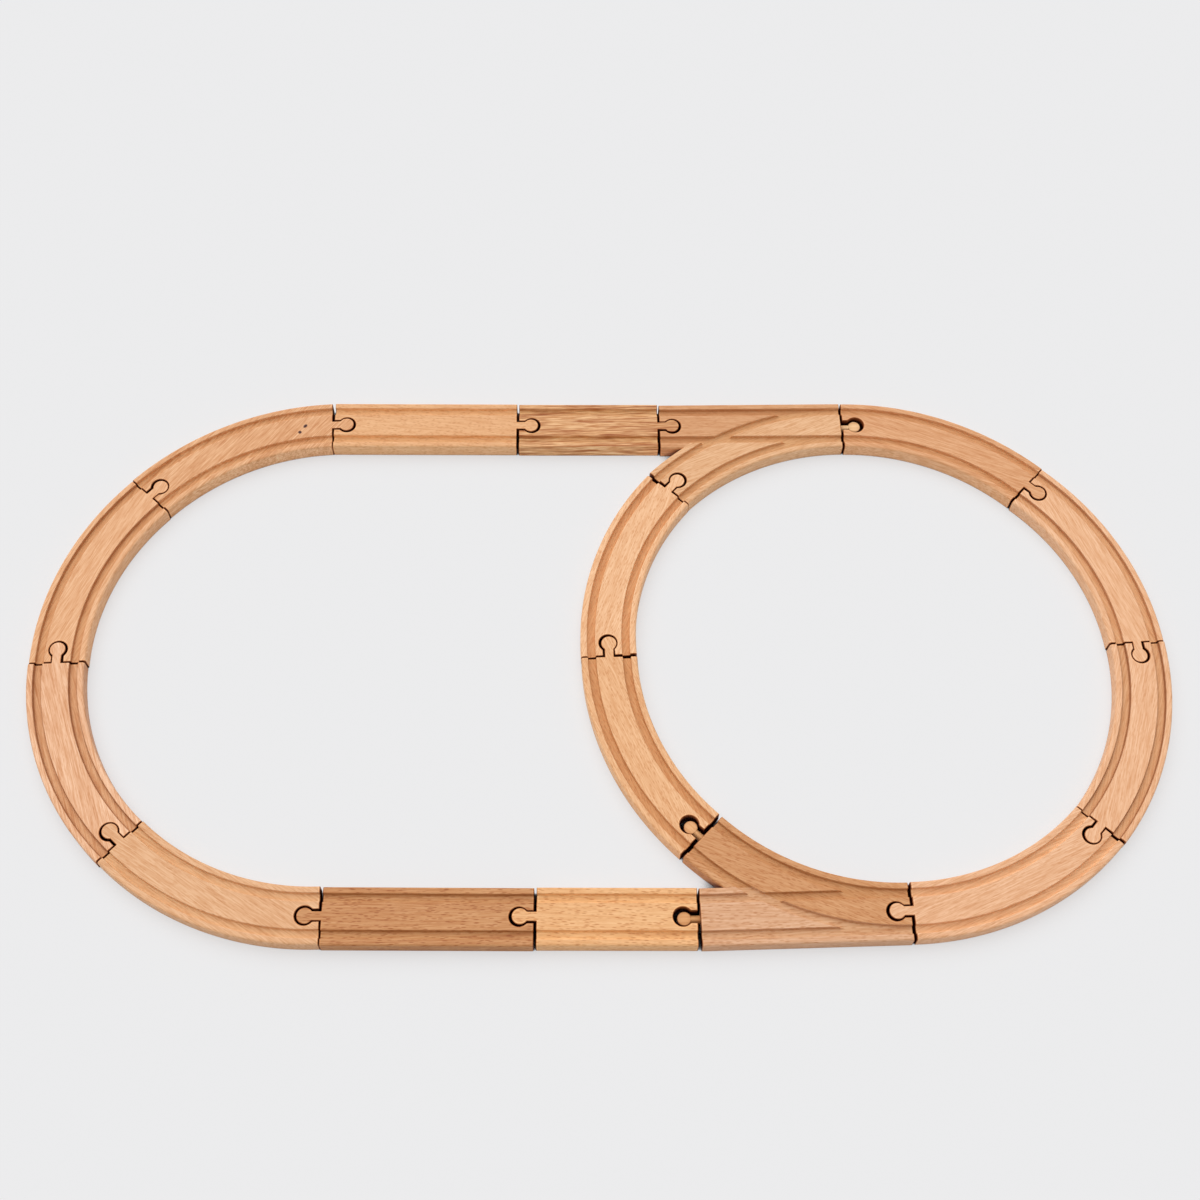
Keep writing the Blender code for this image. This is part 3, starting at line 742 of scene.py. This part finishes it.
def beech_figure(tree, grain, fleck_length):
    """Shares of broad bands, narrow stripes, fine fibres and ray flecks, and the fibres' bare noise."""
    # Sizes of each pattern along, across and down through the grain
    sizes = {
        "bands": (110 * MM, 9 * MM, 14 * MM),
        "stripes": (36 * MM, 1.3 * MM, 3 * MM),
        "fibres": (13 * MM, 0.85 * MM, 0.85 * MM),
        "flecks": (1.6 * fleck_length * MM, 1.0 * MM, 1.0 * MM),
    }
    at = {key: add_node(tree, "ShaderNodeVectorMath", {0: grain, 1: size}, operation="DIVIDE").outputs[0]
          for key, size in sizes.items()}
    bands = ramp(tree, noise(tree, at["bands"], 3, 0.4), 0.32, 0.68)
    stripes = ramp(tree, noise(tree, at["stripes"], 2, 0.3), 0.45, 0.7)
    fibre_noise = noise(tree, at["fibres"], 2)
    fibres = ramp(tree, fibre_noise, 0.36, 0.66)
    cells = add_node(tree, "ShaderNodeTexVoronoi", {"Vector": at["flecks"], "Scale": 1}).outputs
    spots = ramp(tree, cells["Distance"], 0.5, 0.2, interpolation_type="SMOOTHSTEP")
    flecks = product(tree, spots, ramp(tree, cells["Color"], 0.2, 0.55))
    return bands, stripes, fibres, flecks, fibre_noise


def knot_marks(tree, grain, knots):
    """The share of each knot, which lies on top of the piece."""
    top = bpy.context.scene.track_sizes.thickness - GRAIN_DEPTH
    marks = []
    for run, across, half_run, half_across in knots:
        spot = laid_out(tree, grain, (run * MM, across * MM, top),
                        scale=(half_run * MM, half_across * MM, KNOT_HALF))
        reach = add_node(tree, "ShaderNodeVectorMath", {0: spot}, operation="LENGTH").outputs["Value"]
        marks.append(ramp(tree, reach, 1.2, 0.7))
    return marks


def beech(name, heading, place, branch_heading=None):
    """Sanded bare beech: pale pinkish tan with broad bands, fine fibres and short dark ray flecks.

    Grooves are browner, from their own wood and painted shade, rims have a painted highlight, cut ends are
    browner end grain with painted shade, the walls have painted shade and light of their own, slots and
    nooks are dark with painted shade, slots have no sheen, and knots are dark. A switch takes a second wood
    and grain in its branch.
    """
    figure = FIGURES[name]
    colours = bpy.context.scene.wood_colours
    material = bpy.data.materials.new(f"sanded_beech_{name}")
    material.use_nodes = True
    tree = material.node_tree
    tree.nodes.clear()
    shade = (*getattr(colours, name), 1.0)
    where = add_node(tree, "ShaderNodeTexCoord").outputs["Object"]
    grain = laid_out(tree, where, (*place, GRAIN_DEPTH), heading + math.radians(figure.turn))
    if branch_heading is not None:
        mask = add_node(tree, "ShaderNodeAttribute", attribute_name="branch").outputs["Fac"]
        other = laid_out(tree, where, (*place, BRANCH_DEPTH), branch_heading)
        grain = add_node(tree, "ShaderNodeMix", {0: mask, 4: grain, 5: other}, data_type="VECTOR").outputs[1]
        branch = (*getattr(colours, f"{name}_branch"), 1.0)
        shade = add_node(tree, "ShaderNodeMix", {0: mask, 6: shade, 7: branch}, data_type="RGBA").outputs[2]
    bands, stripes, fibres, flecks, fibre_noise = beech_figure(tree, grain, figure.fleck_length)
    groove, steep, rim, cut, wall = (
        add_node(tree, "ShaderNodeAttribute", attribute_name=field).outputs["Fac"]
        for field in ("groove", "steep", "rim", "cut", "wall"))
    # Painted shade: cut ends go nearly black and lose their sheen deep in slots, walls go dark in narrow
    # nooks
    sky = open_sky(tree, NOOK_REACH, 12)
    slot = product(tree, ramp(tree, sky, 0.75, 0.3), cut)
    nook_shade = product(tree, ramp(tree, sky, 0.42, 0.2), wall)
    # The first layer gives back what the bands, stripes and fibres take on the whole
    taken = BAND_SHARE * figure.bands + STRIPE_SHARE * figure.stripes + FIBRE_SHARE * figure.fibres
    layers = (
        (stain_and_shade(-taken), 1.0),
        (stain_and_shade(figure.bands), bands),
        (stain_and_shade(figure.stripes), stripes),
        (stain_and_shade(figure.fibres), fibres),
        (stain_and_shade(figure.flecks), flecks),
        # The grooves' own browner wood together with painted shade
        (stain_and_shade(figure.groove), groove),
        (GROOVE_TONE_AND_SHADE, groove),
        # Painted shade and light on the grooves' walls and corners
        (stain_and_shade(figure.steep, SHADED), steep),
        # Painted highlight just in from the cut rims
        (RIM_HIGHLIGHT, rim),
        # Painted shade and light on the side walls
        (stain_and_shade(figure.wall, SHADED), wall),
        # Browner end grain with painted shade on the cut ends, then painted shade in slots and nooks
        (stain_and_shade(CUT_STAIN_AND_SHADE), cut),
        (stain_and_shade(SLOT_SHADE), slot),
        (stain_and_shade(NOOK_SHADE), nook_shade),
        *((stain_and_shade(KNOT_STAIN), knot) for knot in knot_marks(tree, grain, KNOTS.get(name, ()))),
    )
    for tone, share in layers:
        shade = add_node(tree, "ShaderNodeMix", {0: share, 6: shade, 7: tone},
                         data_type="RGBA", blend_type="MULTIPLY", clamp_factor=True).outputs[2]
    bump = add_node(tree, "ShaderNodeBump", {
        "Strength": FIBRE_STRENGTH, "Distance": FIBRE_HEIGHT, "Height": fibre_noise}).outputs[0]
    surface = add_node(tree, "ShaderNodeBsdfPrincipled", {
        "Base Color": shade, "Roughness": ramp(tree, fibre_noise, 0.3, 0.7, SMOOTH, ROUGH),
        "Specular IOR Level": ramp(tree, slot, 0, 1, SHEEN, 0), "Normal": bump})
    add_node(tree, "ShaderNodeOutputMaterial", {"Surface": surface.outputs[0]})
    return material


def place_piece(name, points, faces, fields, corners, grain, branch_grain=None):
    """Lay a piece on its CAD solid and give it its wood."""
    heading, place = laid_pose(name, points, faces, corners)
    points[:, :2] = turned(points[:, :2], heading) + place
    obj = new_object(name, points, faces, fields)
    other = None if branch_grain is None else heading + branch_grain
    obj.data.materials.append(beech(name, heading + grain, place, other))
    poses[name] = (heading, place)
    return obj


def settle(obj, name, body):
    """Let a finished piece stand for its CAD node and move with its body."""
    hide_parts(name)
    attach(obj, body)


def corners_of(s, ends):
    """The two corners of every end, in the plan of the piece."""
    half = s.width / 2
    return np.vstack([on_end(end, np.array(((0, -half), (0, half)))) for end, _ in ends])


# Heading and place of each laid piece, for the pegs that sit in it
poses = {}


def plain_piece(name, path, grain):
    """Lay a straight or a curve, with a socket at its start and a peg at its far end."""
    s = bpy.context.scene.track_sizes
    ends = ((end_of(path, False), "socket"), (end_of(path, True), "peg"))
    points, faces, fields = track_surface(s, [path], ends)
    obj = place_piece(name, points, faces, fields, corners_of(s, ends), grain)
    settle(obj, name, name)


def switch_ends(s, fittings):
    """Paths and ends of a switch, which is built branching to the left and mirrored for the right."""
    paths = ((0, 0.0, s.switch_length), (1, s.curve_radius, s.curve_radius * s.curve_angle))
    places = (end_of(paths[0], False), end_of(paths[0], True), end_of(paths[1], True))
    return paths, tuple(zip(places, fittings))


def branch_share(s, paths, points, side):
    """1 where a switch is made of the branch's wood and 0 where it is the straight's.

    The upper switch's branch runs through with its outer rail, the lower one's stops at the straight.
    """
    left = left_of(paths[1], points)
    half = s.width / 2
    mid = s.groove_spacing / 2
    if side > 0:
        inside = (left > -mid - SEAM_OFFSET) | ((points[:, 1] > mid) & (left > -half))
    else:
        inside = left > -mid + SEAM_OFFSET
    return (inside | (points[:, 1] > half)).astype(float)


def seam_lines(s, paths, side):
    """Pairs of close lines along the glue seams of a switch, so that its two woods meet sharply."""
    mid = s.groove_spacing / 2
    half = s.width / 2
    pair = (-PAIR_HALF, PAIR_HALF)
    run = np.linspace(0, paths[1][2] * 0.95, SEAM_STEPS)
    seams = (-mid - SEAM_OFFSET, -half) if side > 0 else (-mid + SEAM_OFFSET,)
    lines = [along(paths[1], run, seam + gap) for seam in seams for gap in pair]
    ahead = np.linspace(0.5, 0.95, AHEAD_STEPS) * paths[0][2]
    return lines + [along(paths[0], ahead, half + gap) for gap in pair]


class TRACK_OT_straights(bpy.types.Operator):
    """Lay the four straights"""

    bl_idname = "track.straights"
    bl_label = "Lay straights"

    def execute(self, context):
        sizes = context.scene.track_sizes
        for name, run in STRAIGHTS.items():
            plain_piece(name, (0, 0.0, getattr(sizes, run)), 0.0)
        return {"FINISHED"}


class TRACK_OT_curves(bpy.types.Operator):
    """Lay the ten curves, each sawn from a board with the grain along its chord"""

    bl_idname = "track.curves"
    bl_label = "Lay curves"

    def execute(self, context):
        sizes = context.scene.track_sizes
        run = sizes.curve_radius * sizes.curve_angle
        for name in CURVES:
            plain_piece(name, (-1, sizes.curve_radius, run), -sizes.curve_angle / 2)
        return {"FINISHED"}


class TRACK_OT_switches(bpy.types.Operator):
    """Lay the two switches, each a straight and a branch glued up from two woods"""

    bl_idname = "track.switches"
    bl_label = "Lay switches"

    def execute(self, context):
        s = context.scene.track_sizes
        for name, (side, fittings) in SWITCHES.items():
            paths, ends = switch_ends(s, fittings)
            points, faces, fields = track_surface(s, paths, ends, seam_lines(s, paths, side))
            fields["branch"] = branch_share(s, paths, points[:, :2], side)
            corners = corners_of(s, ends)
            if side < 0:
                points[:, 1] *= -1
                corners[:, 1] *= -1
                faces = [face[::-1] for face in faces]
            obj = place_piece(name, points, faces, fields, corners, 0.0, side * s.curve_angle / 2)
            for end, fitting in ends:
                if fitting == "bore":
                    radius = s.dowel / 2 + s.bore_play
                    tool = dowel_object(s, name, end, side, radius, BORE_OVERRUN, "bore")
                    combined(obj, tool, "DIFFERENCE")
            settle(obj, name, name)
        return {"FINISHED"}


def end_frame(name, end, side):
    """Matrix from an end, as out, left and up, to its place in the layout."""
    heading, place = poses[name]
    x, y, out = end
    spot = turned(np.array(((x, side * y),)), heading)[0] + place
    return Matrix.Translation((*spot, 0)) @ Matrix.Rotation(heading + side * out, 4, "Z")


def dowel_object(s, switch, end, side, radius, reach, label):
    """A lying round bar from inside a switch's end out to a reach."""
    profile = rounded_profile(radius, -s.dowel_depth, reach, DOWEL_EDGE)
    points, faces = revolved(*profile, DOWEL_STEPS)
    place = end_frame(switch, end, side) @ Matrix.Translation((0, 0, s.thickness / 2))
    lie = place @ Matrix.Rotation(math.pi / 2, 4, "Y")
    moved = points @ np.array(lie.to_3x3()).T + np.array(lie.translation)
    return new_object(f"{switch}_{label}", moved, faces, {})


class TRACK_OT_pegs(bpy.types.Operator):
    """Seat the three loose pegs, each a turned disc on a dowel"""

    bl_idname = "track.pegs"
    bl_label = "Seat loose pegs"

    def execute(self, context):
        s = context.scene.track_sizes
        for name, (switch, number) in PEGS.items():
            side, fittings = SWITCHES[switch]
            _, ends = switch_ends(s, fittings)
            end = ends[number][0]
            low = (s.thickness - s.disc_thickness) / 2
            profile = rounded_profile(s.disc_head / 2, low, low + s.disc_thickness, s.disc_round)
            points, faces = revolved(*profile, DISC_STEPS)
            # Painted shade: the disc gets darker from its middle to its rim
            share = np.interp(profile[0] / profile[0].max(), (0.35, 0.83, 1.0), (0, 0.25, 1))
            place = end_frame(switch, end, side) @ Matrix.Translation((s.peg_reach, 0, 0))
            points = points @ np.array(place.to_3x3()).T + np.array(place.translation)
            obj = new_object(name, points, faces, {"wall": np.repeat(share, DISC_STEPS)})
            tool = dowel_object(s, switch, end, side, s.dowel / 2, s.peg_reach, "dowel")
            combined(obj, tool, "UNION")
            heading = math.atan2(place[1][0], place[0][0])
            obj.data.materials.clear()
            obj.data.materials.append(beech(name, heading, place.translation[:2]))
            settle(obj, name, switch)
        return {"FINISHED"}


class TRACK_OT_stage(bpy.types.Operator):
    """Set up the pale floor, the soft light and the camera"""

    bl_idname = "track.stage"
    bl_label = "Set the stage"

    def execute(self, context):
        look = context.scene.stage_look
        self.floor(look)
        self.light(context.scene, look)
        self.camera(context.scene, look)
        context.scene.view_settings.view_transform = "Standard"
        return {"FINISHED"}

    def floor(self, look):
        """A wide flat sheet of matt white board under the track, with painted shade where the wood shuts it
        in.
        """
        reach = 6.0
        mesh = bpy.data.meshes.new("floor")
        mesh.from_pydata([(-reach, -reach, 0), (reach, -reach, 0), (reach, reach, 0), (-reach, reach, 0)],
                         [], [(0, 1, 2, 3)])
        floor = bpy.data.objects.new("floor", mesh)
        bpy.context.scene.collection.objects.link(floor)
        material = bpy.data.materials.new("matt_white_board")
        material.use_nodes = True
        tree = material.node_tree
        tree.nodes.clear()
        sky = open_sky(tree, FLOOR_REACH, 16)
        # Painted shade: black where the wood shuts the floor in, as at the bottom of a slot
        tone = add_node(tree, "ShaderNodeMix", {
            0: ramp(tree, sky, 0.22, 0.42), 6: (0, 0, 0, 1), 7: (*look.floor, 1)},
            data_type="RGBA").outputs[2]
        shaded = add_node(tree, "ShaderNodeBsdfDiffuse", {"Color": tone}).outputs[0]
        glow = add_node(tree, "ShaderNodeEmission", {"Color": tone}).outputs[0]
        glow_share = 0.65
        shown = add_node(tree, "ShaderNodeMixShader", {0: glow_share, 1: shaded, 2: glow}).outputs[0]
        plain = add_node(tree, "ShaderNodeBsdfDiffuse", {"Color": (*look.floor, 1)}).outputs[0]
        seen = add_node(tree, "ShaderNodeLightPath").outputs["Is Camera Ray"]
        surface = add_node(tree, "ShaderNodeMixShader", {0: seen, 1: plain, 2: shown})
        add_node(tree, "ShaderNodeOutputMaterial", {"Surface": surface.outputs[0]})
        mesh.materials.append(material)

    def light(self, scene, look):
        """Even light from all round and one wide soft lamp from behind on the left."""
        world = bpy.data.worlds.new("studio")
        world.use_nodes = True
        tree = world.node_tree
        tree.nodes.clear()
        path = add_node(tree, "ShaderNodeLightPath").outputs
        seen = add_node(tree, "ShaderNodeMath", {0: path["Is Camera Ray"], 1: path["Is Glossy Ray"]},
                        operation="MAXIMUM").outputs[0]
        seen = add_node(tree, "ShaderNodeMath", {0: seen, 1: path["Is Transmission Ray"]},
                        operation="MAXIMUM").outputs[0]
        lit = add_node(tree, "ShaderNodeBackground", {"Color": (1, 1, 1, 1), "Strength": look.ambient})
        backdrop = add_node(tree, "ShaderNodeBackground", {"Color": (*look.floor, 1), "Strength": 1.0})
        mixed = add_node(tree, "ShaderNodeMixShader", {0: seen, 1: lit.outputs[0], 2: backdrop.outputs[0]})
        add_node(tree, "ShaderNodeOutputWorld", {"Surface": mixed.outputs[0]})
        scene.world = world
        lamp = bpy.data.lights.new("soft_lamp", "SUN")
        lamp.energy = look.sun * math.pi / math.sin(look.sun_height)
        lamp.angle = look.sun_spread
        sun = bpy.data.objects.new("soft_lamp", lamp)
        scene.collection.objects.link(sun)
        flat = math.cos(look.sun_height)
        towards = Vector((flat * math.cos(look.sun_turn), flat * math.sin(look.sun_turn),
                          math.sin(look.sun_height)))
        sun.rotation_euler = towards.to_track_quat("Z", "Y").to_euler()

    def camera(self, scene, look):
        """A camera above the near side, turned and rolled as the photograph's was."""
        lens = bpy.data.cameras.new("camera")
        lens.sensor_width = 36
        lens.lens = look.lens
        lens.clip_end = 50
        camera = bpy.data.objects.new("camera", lens)
        scene.collection.objects.link(camera)
        turn = Matrix.Rotation(-look.yaw, 4, "Z") @ Matrix.Rotation(math.pi / 2 - look.pitch, 4, "X")
        back = Matrix.Translation((0, 0, look.distance)) @ Matrix.Rotation(look.roll, 4, "Z")
        camera.matrix_world = Matrix.Translation((look.target_x, look.target_y, 0)) @ turn @ back
        scene.camera = camera


class TRACK_PT_panel(bpy.types.Panel):
    """The track's operators and settings in the sidebar"""

    bl_label = "Wooden track"
    bl_space_type = "VIEW_3D"
    bl_region_type = "UI"
    bl_category = "Track"

    def draw(self, context):
        for operator in OPERATORS:
            self.layout.operator(operator.bl_idname)
        for group in (context.scene.track_sizes, context.scene.wood_colours, context.scene.stage_look):
            column = self.layout.box().column()
            for name in group.__annotations__:
                column.prop(group, name)


OPERATORS = (TRACK_OT_straights, TRACK_OT_curves, TRACK_OT_switches, TRACK_OT_pegs, TRACK_OT_stage)
CLASSES = (TrackSizes, WoodColours, StageLook, *OPERATORS, TRACK_PT_panel)


def register():
    for cls in CLASSES:
        bpy.utils.register_class(cls)
    bpy.types.Scene.track_sizes = bpy.props.PointerProperty(type=TrackSizes)
    bpy.types.Scene.wood_colours = bpy.props.PointerProperty(type=WoodColours)
    bpy.types.Scene.stage_look = bpy.props.PointerProperty(type=StageLook)


def unregister():
    del bpy.types.Scene.stage_look
    del bpy.types.Scene.wood_colours
    del bpy.types.Scene.track_sizes
    for cls in reversed(CLASSES):
        bpy.utils.unregister_class(cls)


def main():
    """Build the whole scene."""
    register()
    bpy.ops.track.straights()
    bpy.ops.track.curves()
    bpy.ops.track.switches()
    bpy.ops.track.pegs()
    bpy.ops.track.stage()
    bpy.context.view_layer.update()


if __name__ == "__main__":
    main()
